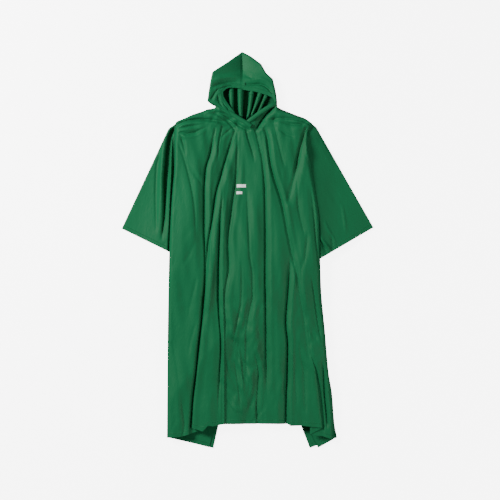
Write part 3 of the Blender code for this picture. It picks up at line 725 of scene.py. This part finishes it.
SLEEVE_FOLDS = {
    "left": [
        ("beside_body", 12, 8, 0, 0, [(-250, 434, 24), (-263, 413, 40), (-273, 390, 46), (-278, 357, 46),
        (-281, 313, 44), (-285, 246, 36),
            (-287, 200, 26), (-289, 158, 20), (-292, 110, 16), (-296, 77, 12), (-300, 30, 0)]),
        ("body_roll", 6, 6, 0, 0, [(-256, 418, 0), (-264, 390, -9), (-267, 340, -11), (-269, 280, -11),
        (-273, 120, -9), (-275, 39, -8), (-278, -10, -3)]),
        ("outer_strip", 22, 9, 0, 0, [(-258, 440, -6), (-271, 420, -12), (-282, 396, -17),
        (-289, 360, -18), (-294, 313, -17), (-299, 246, -12),
            (-301, 158, -7), (-305, 77, -4), (-312, 30, 0)]),
        ("outer_soft", 16, 18, 3, 0, [(-296, 345, 0), (-318, 300, 4), (-322, 200, 5), (-320, 100, 4),
        (-318, 55, 0)]),
    ],
    "right": [
        ("outer_rim", 10, 10, 0, 0, [(244, 415, 0), (262, 386, 6), (278, 358, 6), (304, 313, 3),
        (322, 282, 0)]),
        ("cuff_fold", 8, 10, 4, 0, [(244, 75, 0), (249, 43, 6), (262, 15, 8), (272, -5, 5), (278, -20, 0)]),
        ("cuff_ridge", 7, 7, 0, 0, [(250, 55, 0), (260, 34, -5), (278, 14, -6), (290, 2, 0)]),
        ("cuff_drag", 7, 7, 0, 0, [(268, 105, 0), (278, 78, -3), (302, 37, -4), (308, 15, 0)]),
        ("cuff_dark", 7, 7, 1, 0, [(290, 62, 0), (295, 42, 5), (297, 10, 5), (297, -8, 3)]),
        ("cuff_far", 9, 9, 0, 0, [(330, 165, 0), (334, 140, -2), (341, 90, -3), (344, 55, 0)]),
    ],
}

# How far each sleeve rises beside the body: at the shoulder, and below it.
BODY_NEAR = {"left": (12.0, 12.0), "right": (7.0, 15.0)}
# Where its outer fold starts, inside its CAD corner, which the arc of the shoulder rounds.
SHOULDER_TURN = {"left": (-250, 446), "right": (230, 440)}
END_RISE = 10.0  # how far its upper end is raised under the front
DROOP = 5.5
LEAST_GAP = 1.6  # least height of its upper layer over the lower one's level


def sleeve(side):
    """A flat tube that fans out from the shoulder to its cuff: lower layer, outer fold and upper layer."""
    top, tip, inner, shoulder = (np.array(p, float) for p in sleeve_outline(side))
    v = np.concatenate([np.linspace(0.0, 0.93, 84), np.linspace(0.93, 1, 12)[1:]])[:, None]
    fold = top + (tip - top) * v
    fold = fold + (np.array(SHOULDER_TURN[side], float) - top) * (1 - smooth(v / 0.07)) ** 1.4
    end = shoulder + (inner - shoulder) * v
    length = np.linalg.norm(end - fold, axis=1, keepdims=True)
    unit = (end - fold) / length
    start = np.minimum(6.0, 0.3 * length)
    upper = np.concatenate([np.linspace(0, 0.62, 78), np.linspace(0.62, 1, 14)[1:]])
    lower = np.linspace(1, 0, 26)
    angle = np.radians(np.linspace(-90, 90, 11)[1:-1])

    def at(fraction):
        away = start + (length - start) * fraction
        return fold[:, :1] + unit[:, :1] * away, fold[:, 1:] + unit[:, 1:] * away, away

    x_low, y_low, _ = at(lower[None, :])
    z_low = back_tuck_rise(x_low, y_low) + 0.2
    x_up, y_up, away = at(upper[None, :])
    side_line = GUIDES[0][1] if side == "left" else GUIDES[-1][1]
    turn = 1.0 if side == "left" else -1.0
    outside = turn * (read_line(side_line, y_up) - x_up)
    free = smooth((outside + 1.0) / 10.0) if side == "left" else smooth((outside + 4.0) / 4.0)
    sink, rise, _ = folded(x_up, y_up, SLEEVE_FOLDS[side])
    roof = 2 * WALL + SLEEVE_HOLLOW
    near = np.exp(-np.maximum(outside, 0.0) / 45.0)
    outer = smooth(away / 150.0)
    at_shoulder, below = BODY_NEAR[side]
    beside = (at_shoulder + (below - at_shoulder) * smooth(v / 0.1)) * near
    droop = DROOP * (1 - outer) * (smooth(v / 0.12) if side == "right" else 1.0)
    swell = waves(x_up, y_up, 11, [(120, 1.2)]) + wrinkles(x_up, y_up, 12, 40, 0.5, 0.9)
    level = back_tuck_rise(x_up, y_up)
    z_up = level + roof + free * (beside - droop + rise + swell)
    z_up = np.maximum(z_up - sink * free, level + LEAST_GAP)
    z_up = z_up + END_RISE * (1 - smooth(v / 0.06)) * (1 - free)
    cuff = np.linalg.norm(tip - inner)
    across = (tip - inner) / cuff
    to_cuff = np.abs(across[0] * (y_up - inner[1]) - across[1] * (x_up - inner[0]))
    z_up = z_up + hem_step(to_cuff)
    x_turn, y_turn, z_turn = turned(fold, unit, start, angle, z_low[:, -1:], z_up[:, :1])
    layers = (x_low, x_turn, x_up), (y_low, y_turn, y_up), (z_low, z_turn, z_up)
    points = np.stack([np.concatenate(parts, axis=1) for parts in layers], axis=-1)
    if side == "right":
        points = points[:, ::-1]
    edge = np.abs(across[0] * (points[..., 1] - inner[1]) - across[1] * (points[..., 0] - inner[0]))
    along = across[0] * (points[..., 0] - inner[0]) + across[1] * (points[..., 1] - inner[1])
    made = shell("sleeve_" + side, points, edge, along, CLOTH)
    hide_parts("sleeve_" + side)
    return made


# The side folds that the back and the turned-in sides hang on.
FOLD_LINES = {
    ("left", "front"): [(425, -257), (280, -258), (200, -265), (119, -270), (-4, -273), (-280, -279),
        (-655, -281)],
    ("left", "back"): [(425, -257), (280, -258), (200, -265), (119, -270), (-4, -274), (-280, -280),
        (-657, -283)],
    ("right", "front"): [(428, 209), (318, 216), (200, 236), (77, 251), (-28, 253), (-140, 257),
        (-280, 270), (-420, 282),
        (-507, 293), (-609, 300), (-664, 301)],
    ("right", "back"): [(428, 209), (318, 217), (200, 237), (77, 252), (-28, 254), (-140, 258),
        (-280, 271), (-420, 283),
        (-507, 297), (-609, 305), (-658, 314)],
}


def tuck(side, layer):
    """A side of the front or the back, turned in along the body's side fold: a four-sided sheet."""
    shoulder, foot, corner, inner = (np.array(p, float) for p in tuck_outline(side, layer))
    v = np.concatenate([np.linspace(0, 0.95, 60), np.linspace(0.95, 1, 12)[1:]])[:, None]
    u = np.linspace(0, 1, 60)[None, :]
    sides = [shoulder + (foot - shoulder) * v, inner + (corner - inner) * v]
    sides[0][:, 0] = read_line(FOLD_LINES[side, layer], sides[0][:, 1])
    x = sides[0][:, :1] * (1 - u) + sides[1][:, :1] * u
    y = sides[0][:, 1:] * (1 - u) + sides[1][:, 1:] * u
    seed = {"left": 20, "right": 30}[side] + (layer == "front")
    swell = waves(x, y, seed, [(80, 0.45)])
    length = np.linalg.norm(corner - foot)
    across = (corner - foot) / length
    edge = np.abs(across[0] * (y - foot[1]) - across[1] * (x - foot[0]))
    along = across[0] * (x - foot[0]) + across[1] * (y - foot[1])
    if layer == "front":
        z = sleeve_rise(x, y) + 1.2 + 0.5 * swell
    else:
        z = LAYER * np.ones_like(x) + 1.0 + 0.5 * swell
    z = z + hem_step(edge, TUCK_RISE)
    points = np.stack([x, y, z], axis=-1)
    if side == "right":
        points, edge, along = points[:, ::-1], edge[:, ::-1], along[:, ::-1]
    name = f"{layer}_tuck_{side}"
    made = shell(name, points, edge, along, CLOTH)
    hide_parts(name)
    return made


BACK_TOP = [
    # x, y
    (-257, 425), (-250, 446), (-140, 495), (-108, 495), (-60, 474), (-6, 457), (40, 487), (94, 506),
    (117, 491), (194, 461), (209, 428),
]
BACK_HEM = [(-283, -657), (-100, -607), (184, -607), (314, -658)]
BACK_FOLDS = [
    ("spine_left", 14, 14, 0, 0, [(-60, 420, -1), (-78, 180, -2), (-90, -120, -1.5), (-120, -560, -1)]),
    ("spine", 12, 12, 0, 0, [(2, 410, -1.2), (14, 120, -1.8), (6, -300, -1.4), (18, -590, -1)]),
    ("spine_right", 14, 14, 0, 0, [(60, 430, -1), (84, 200, -2), (110, -180, -1.6), (160, -560, -1)]),
]


def back_panel():
    v = np.concatenate([np.linspace(0, 0.982, 110), np.linspace(0.982, 1, 10)[1:]])[:, None]
    u = np.linspace(0, 1, 130)[None, :]
    (top_left, top_right), (hem_left, hem_right) = ((e[0][0], e[-1][0]) for e in (BACK_TOP, BACK_HEM))
    x_top = top_left + (top_right - top_left) * u
    x_hem = hem_left + (hem_right - hem_left) * u
    top, hem = along_edge(BACK_TOP, x_top), along_edge(BACK_HEM, x_hem)
    y = top + (hem - top) * v
    edges = [read_line(FOLD_LINES[side, "back"], y) for side in SIDES]
    x = edges[0] + (edges[1] - edges[0]) * u
    _, rise, _ = folded(x, y, BACK_FOLDS)
    z = SHELL + rise * smooth(np.minimum(u, 1 - u) / 0.05)
    points = np.stack([x, y, z], axis=-1)
    made = shell("back_panel", points, y - hem, x, CLOTH)
    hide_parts("back_panel")
    return made


# ---- the hood ----
RIM_LEFT = [(-9, 560), (-15, 561), (-36, 567), (-57, 569), (-74, 564), (-86, 553), (-85, 538), (-76, 522),
        (-64, 505),
            (-52, 488), (-42, 474)]
RIM_RIGHT = [(-13, 561), (2, 557), (18, 556), (47, 548), (70, 541), (86, 533), (92, 524), (94, 516),
        (96, 506), (99, 494)]
OUTER_LEFT = [(-20, 696), (-70, 659), (-124, 623), (-131, 590), (-137, 552), (-141, 521), (-128, 510),
        (-106, 500),
              (-84, 486), (-60, 470)]
OUTER_RIGHT = [(-19, 696), (10, 681), (48, 652), (66, 620), (89, 599), (96, 570), (101, 545), (104, 521),
        (104, 508), (106, 494)]
HOOD_FOLDS = {
    "left": [
        ("brow", 9, 16, 5, 0, [(-126, 570, 4), (-100, 577, 11), (-70, 583, 14), (-44, 586, 12),
        (-26, 584, 5)]),
        ("brow_low", 8, 9, 3, 0, [(-100, 562, 4), (-78, 570, 7), (-50, 575, 7), (-24, 572, 4)]),
        ("cheek", 7, 9, 3, 0, [(-100, 566, 2), (-118, 545, 7), (-131, 520, 7)]),
        ("cheek_in", 8, 9, 3, 0, [(-104, 552, 0), (-104, 532, 7), (-98, 514, 8), (-88, 500, 5)]),
        ("cheek_low", 7, 7, 2, 0, [(-92, 530, 0), (-84, 512, 5), (-70, 494, 6), (-58, 482, 4)]),
    ],
    "right": [
        ("brow", 10, 15, 4, 0, [(-12, 580, 4), (10, 578, 9), (40, 580, 11), (62, 572, 10), (80, 555, 6),
        (92, 535, 0)]),
        ("crown", 10, 12, 3, 0, [(-14, 612, 0), (2, 606, 4), (18, 600, 5), (38, 602, 3), (52, 606, 0)]),
    ],
}
HOOD_CREST = {"left": 30, "right": 20}  # how far the centre seam stands up over the apex
HOOD_SIDE = 22  # how far the outer fold does
SEAM_LAP = 1.6  # how far one half's seam edge lies over the other's
END_DIP = 0.5  # share by which the right half's lower end sinks under the front's shoulder
GATHERS = [
    # x at y = 556, x at y = 500, x at y = 450, height, half width
    (-57, -56, -34, 22, 9),
    (-25, -25, -22, 24, 10),
    (15, 8, -1, 22, 8),
    (46, 26, 6, 21, 8),
    (70, 46, 16, 13, 9),
]


def path_points(path, share):
    """Points at shares of the length of a path."""
    path = np.array(path, float)
    run = np.concatenate([[0.0], np.cumsum(np.hypot(*np.diff(path, axis=0).T))])
    at = run[-1] * np.asarray(share)
    return np.stack([np.interp(at, run, path[:, i]) for i in range(2)], axis=-1)


def gathered(x, y):
    """Height of the hood's back as it is drawn together towards the throat."""
    height = np.zeros(x.shape)
    for high, middle, low, rise, width in GATHERS:
        centre = eased([450, 500, 556], [low, middle, high], y)
        half = width * (0.62 + 0.38 * np.clip((y - 450) / 100, 0, 1))
        hump = np.maximum(0.0, 1.0 - np.abs((x - centre) / half) ** 3) ** 0.5
        height = np.maximum(height, rise * hump * smooth((604 - y) / 56))
    return height


def hood(side):
    """One half of the hood: its front from the seam or the rim of the face out to the fold, round it, and its
    back in to the back seam."""
    left = side == "left"
    outer = OUTER_LEFT if left else OUTER_RIGHT
    rim = RIM_LEFT if left else RIM_RIGHT
    turn = 1.0 if left else -1.0
    v = np.linspace(0, 1, 90)
    fold = path_points(outer, v)
    lap = 5.0 if left else 0.0
    seam_x = -20.0 + lap
    split = 0.46  # share of the rows above the face
    front = np.zeros_like(fold)
    seam = [(seam_x, 694 if left else 696), (rim[0][0], rim[0][1])]
    front[v <= split] = path_points(seam, v[v <= split] / split)
    front[v > split] = path_points(rim, (v[v > split] - split) / (1 - split))
    back_seam = [(seam_x, 694 if left else 696), (-14 + lap, 560), (-8 + lap, 470), (-4 + lap, 452)]
    back = path_points(back_seam, v)
    angle = np.radians(np.linspace(90, -90, 11)[1:-1])

    def layer(end, shares, radius):
        length = np.linalg.norm(end - fold, axis=1)[:, None]
        unit = (end - fold) / np.maximum(length, 1e-6)
        start = np.minimum(radius, 0.3 * length)
        away = start + (length - start) * shares[None, :]
        return fold[:, :1] + unit[:, :1] * away, fold[:, 1:] + unit[:, 1:] * away, away, length, unit, start

    x_f, y_f, away, length, unit, start = layer(front, np.linspace(1, 0, 60) ** 1.25, 3.0)
    to_seam = np.abs(x_f - np.interp(y_f, [560, 696], [-14, -20]))
    reach = to_seam + away * np.abs(unit[:, :1])
    tilt = np.clip(to_seam / np.maximum(reach, 30.0), 0, 1)
    crest = 8 + HOOD_CREST[side] * smooth((702 - y_f) / 75)
    dip = 3 + HOOD_SIDE * smooth((648 - y_f) / 80)
    level = dip + (crest - dip) * tilt
    z_f = level * (0.72 + 0.28 * round_over(away - start + 1.0, 5.0))
    rim_off, _ = path_distance(x_f, y_f, rim)
    z_f = z_f - 3.0 * np.exp(-((np.abs(rim_off) / 9.0) ** 2)) * smooth((z_f - 8) / 10)
    sink, rise, _ = folded(x_f, y_f, HOOD_FOLDS[side])
    z_f = z_f + (rise - sink) * smooth(away / 25)
    # The left half's seam edge passes under the right's, in front and behind.
    under = SEAM_LAP if left else 0.0
    z_f = z_f - under * smooth((x_f + 26) / 6)
    if not left:
        z_f = z_f * (1.0 - END_DIP * smooth((512 - y_f) / 16))
    x_b, y_b, away_b, _, _, _ = layer(back, np.linspace(0, 1, 70), 4.0)
    z_b = 0.4 + gathered(x_b, y_b) * smooth((away_b - 4) / 14) * smooth((1 - v) / 0.06)[:, None]
    z_b = z_b + (0.0 if left else SEAM_LAP) * smooth((-x_b + 2) / 8)
    x_t, y_t, z_t = turned(fold, unit, start, angle, z_b[:, :1], z_f[:, -1:])
    # The back's outer side is its underside, so its points lie there, and the shell grows inwards from it.
    layers = (x_f, x_t, x_b), (y_f, y_t, y_b), (z_f, z_t, z_b)
    points = np.stack([np.concatenate(parts, axis=1) for parts in layers], axis=-1)
    if left:
        points = points[:, ::-1]
    to_rim, _ = path_distance(points[..., 0], points[..., 1], rim)
    made = shell("hood_" + side, points, np.abs(to_rim), points[..., 0] - points[..., 1], CLOTH)
    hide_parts("hood_" + side)
    return made


THROAT_EDGES = {
    # the band's middle line, [(x, y, height over the front)]
    "left": [(-113, 503, -6), (-98, 499, 0), (-70, 484, 4), (-42, 467, 6), (-18, 452, 7), (0, 441, 7),
        (12, 433, 5)],
    "right": [(99, 511, -6), (84, 505, 0), (62, 492, 3), (36, 474, 4), (18, 461, 4), (4, 450, 2),
        (-4, 443, 0)],
}
THROAT_BAND = 15.0
THROAT_RISE = 4.5


def throat(side):
    """The hood's front edge below the face: a rolled band from the side of the neck down to the throat."""
    line = np.array(THROAT_EDGES[side], float)
    run = np.concatenate([[0.0], np.cumsum(np.hypot(*np.diff(line[:, :2], axis=0).T))])
    at = np.linspace(0, run[-1], 80)
    middle = np.stack([eased(run, line[:, i], at) for i in range(3)], axis=1)
    way = np.gradient(middle[:, :2], axis=0)
    way /= np.linalg.norm(way, axis=1, keepdims=True)
    aside = np.stack([-way[:, 1], way[:, 0]], axis=1)
    turn = 1.0 if side == "left" else -1.0
    angle = turn * np.radians(np.linspace(-200, 20, 26))
    half = THROAT_BAND / 2
    x = middle[:, :1] + aside[:, :1] * half * np.cos(angle)[None, :]
    y = middle[:, 1:2] + aside[:, 1:2] * half * np.cos(angle)[None, :]
    floor = front_rise(middle[:, 0], middle[:, 1]) + WALL + BODY_LOFT
    z = (floor + middle[:, 2])[:, None] - turn * THROAT_RISE * np.sin(angle)[None, :]
    points = np.stack([x, y, z], axis=-1)
    normal = normals_of(points)
    if normal[..., 2].mean() < 0:
        points = points[:, ::-1]
    made = shell("hood_throat_" + side, points, np.full(points.shape[:2], 4.0), at[:, None], CLOTH)
    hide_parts("hood_throat_" + side)
    return made


# ---- the print on the chest ----
def chest_bar(name, centre, size, node):
    """A plain printed bar that follows the folds of the front, its points moved out from the front's own."""
    (cx, cy), (width, height) = centre, size
    u = np.linspace(-0.5, 0.5, 48)[None, :]
    v = np.linspace(0.5, -0.5, 16)[:, None]
    x, y = cx + width * u + 0 * v, cy + height * v + 0 * u
    rows = FRONT_POINTS
    z = np.zeros_like(x)
    for i in range(x.shape[0]):
        for j in range(x.shape[1]):
            off = (rows[..., 0] - x[i, j]) ** 2 + (rows[..., 1] - y[i, j]) ** 2
            near = np.argpartition(off.reshape(-1), 6)[:6]
            weight = 1.0 / (off.reshape(-1)[near] + 1.0)
            z[i, j] = (rows[..., 2].reshape(-1)[near] * weight).sum() / weight.sum()
    points = np.stack([x, y, z + PRINT_LIFT], axis=-1)
    made = shell(name, points, np.full(x.shape, 1.0), x, PRINT, thickness=PRINT_SHELL)
    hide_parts(node)
    return made


FRONT, FRONT_POINTS = front_panel()
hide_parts("front_panel")
PIECES = [FRONT, back_panel()]
for SIDE in SIDES:
    PIECES += [tuck(SIDE, "back"), tuck(SIDE, "front"), sleeve(SIDE), hood(SIDE), throat(SIDE)]
chest_bar("chest_mark_wide", (-22, 224), (32, 11), "chest_mark_wide")
chest_bar("chest_mark_small", (-29, 200), (20, 9), "chest_mark_small")


# ---- camera, light and floor ----
def area_light(name, place, target, size, power):
    data = bpy.data.lights.new(name, "AREA")
    data.shape = "DISK"
    data.size = size
    data.energy = power
    made = placed(name, data)
    made.location = place
    made.rotation_euler = (Vector(target) - Vector(place)).to_track_quat("-Z", "Y").to_euler()


def studio():
    lens, frame_width = 120.0, 1.75
    distance = frame_width * lens / 36.0
    data = bpy.data.cameras.new("camera")
    data.lens = lens
    data.sensor_width = 36.0
    camera = placed("camera", data)
    camera.location = (0.0084, 0.0, distance + 0.02)
    bpy.context.scene.camera = camera

    half = FLOOR_SIZE / 2
    mesh = bpy.data.meshes.new("floor")
    corners = [(-half, -half), (half, -half), (half, half), (-half, half)]
    mesh.from_pydata([(x, y, FLOOR_LEVEL) for x, y in corners], [], [(0, 1, 2, 3)])
    floor = placed("floor", mesh)
    paint = bpy.data.materials.new("floor_white")
    paint.use_nodes = True
    shader = paint.node_tree.nodes["Principled BSDF"]
    shader.inputs["Base Color"].default_value = (0.93, 0.93, 0.93, 1)
    shader.inputs["Roughness"].default_value = 0.9
    shader.inputs["Emission Color"].default_value = (1, 1, 1, 1)
    shader.inputs["Emission Strength"].default_value = 6.0
    mesh.materials.append(paint)
    # The floor looks as bright as a studio's white sweep, and throws no light of its own on the cloth.
    floor.visible_diffuse = False
    floor.visible_glossy = False

    area_light("key", (-2.5, 1.35, 2.1), (0, -0.1, 0), 1.1, 200)
    area_light("fill", (2.6, -1.0, 1.9), (0, -0.2, 0), 1.4, 58)
    world = bpy.data.worlds.new("studio")
    bpy.context.scene.world = world
    world.use_nodes = True
    world.node_tree.nodes["Background"].inputs["Color"].default_value = (1, 1, 1, 1)
    world.node_tree.nodes["Background"].inputs["Strength"].default_value = 0.17


studio()
